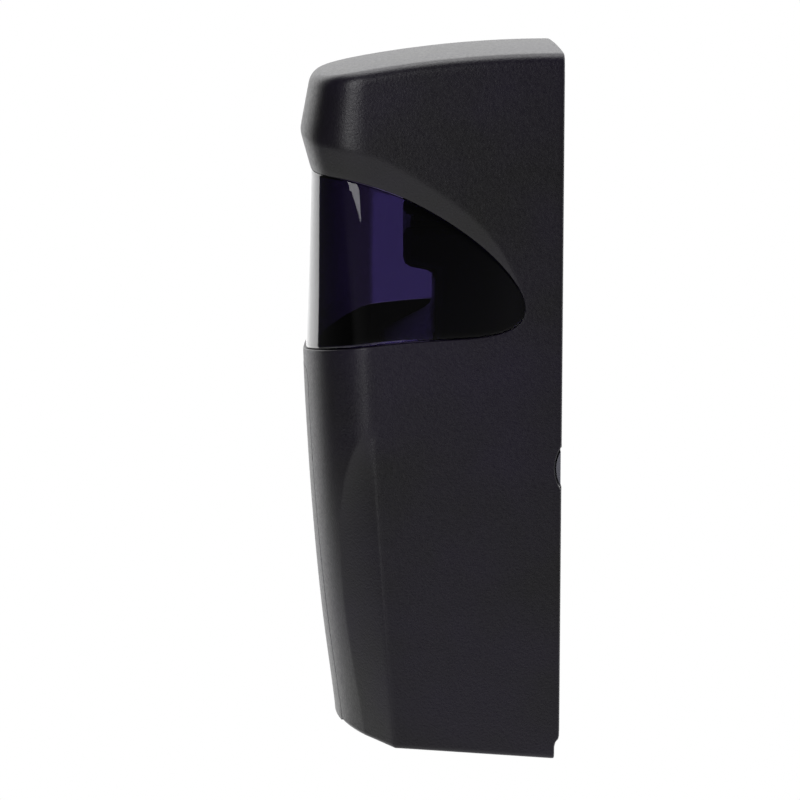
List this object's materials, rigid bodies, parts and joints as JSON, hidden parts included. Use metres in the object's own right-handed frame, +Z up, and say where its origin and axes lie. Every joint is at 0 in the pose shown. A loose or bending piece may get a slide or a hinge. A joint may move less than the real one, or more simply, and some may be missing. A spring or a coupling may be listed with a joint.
{
  "type": "wall mounted soap dispenser",
  "caption": "Manual wall soap dispenser: drop-down cover with a swept see-through window and a push lever over a refillable reservoir and piston pump.",
  "frame": {"origin": "centre of the back plate's rear face, on the wall plane", "axes": "+Y into the wall, -Y the front, +Z up, +X to the right of someone facing the dispenser"},
  "size_m": [0.13, 0.1027, 0.2779],
  "materials": {
    "cover_plastic": "dark pearl black, fine-grained matt moulded plastic",
    "window_plastic": "polished see-through dark violet plastic",
    "inner_plastic": "plain black moulded plastic",
    "tank_plastic": "smoked blow-moulded plastic",
    "tab_plastic": "light bluish grey moulded plastic",
    "pump_plastic": "natural off-white moulded plastic",
    "steel": "plain stainless steel",
    "rubber": "black seal rubber"
  },
  "bodies": {
    "base": {"back_plate": "inner_plastic", "reservoir_tank": "tank_plastic", "lid_hinge_pin": "steel", "pump_cylinder": "pump_plastic", "pump_cap": "pump_plastic", "pump_spring": "steel", "inlet_gasket": "rubber", "outlet_valve": "rubber", "outlet_nozzle": "inner_plastic", "pump_screw_left": "steel", "pump_screw_right": "steel", "tank_screw_left": "steel", "tank_screw_right": "steel", "cover_hinge_pin_left": "steel", "cover_hinge_pin_right": "steel", "release_spring_left": "steel", "release_spring_right": "steel"},
    "cover": {"cover_shell": "cover_plastic", "window_lens": "window_plastic", "lever_pin": "steel"},
    "lever": {"push_lever": "cover_plastic"},
    "lid": {"reservoir_lid": "inner_plastic", "lid_seal": "rubber"},
    "piston": {"pump_piston": "pump_plastic", "piston_seal": "rubber"},
    "ball": {"inlet_ball": "steel"},
    "tab_left": {"release_tab_left": "tab_plastic"},
    "tab_right": {"release_tab_right": "tab_plastic"}
  },
  "joints": [
    {"name": "cover_hinge", "type": "hinge", "parent": "base", "child": "cover", "pos_m": [0, -0.006, -0.1363], "axis": [1, 0, 0], "range_deg": [0, 90]},
    {"name": "lever_pivot", "type": "hinge", "parent": "cover", "child": "lever", "pos_m": [0, -0.092, -0.001], "axis": [1, 0, 0], "range_deg": [0, 5.5]},
    {"name": "pump_press", "type": "slide", "parent": "base", "child": "piston", "axis": [0, 1, 0], "range_m": [0, 0.011], "stiffness_N_per_m": 400, "springref_m": -0.01, "deforming": ["pump_spring"]},
    {"name": "lid_hinge", "type": "hinge", "parent": "base", "child": "lid", "pos_m": [0, -0.0165, 0.075], "axis": [-1, 0, 0], "range_deg": [0, 80]},
    {"name": "inlet_check_lift", "type": "slide", "parent": "base", "child": "ball", "axis": [0, 0, 1], "range_m": [0, 0.0017]},
    {"name": "release_press_left", "type": "slide", "parent": "base", "child": "tab_left", "axis": [1, 0, 0], "range_m": [0, 0.0025], "stiffness_N_per_m": 600, "springref_m": -0.003, "deforming": ["release_spring_left"]},
    {"name": "release_press_right", "type": "slide", "parent": "base", "child": "tab_right", "axis": [-1, 0, 0], "range_m": [0, 0.0025], "stiffness_N_per_m": 600, "springref_m": -0.003, "deforming": ["release_spring_right"]}
  ],
  "couplings": [
    {"joint": "pump_press", "follows": "lever_pivot", "m_per_rad": 0.1095}
  ]
}
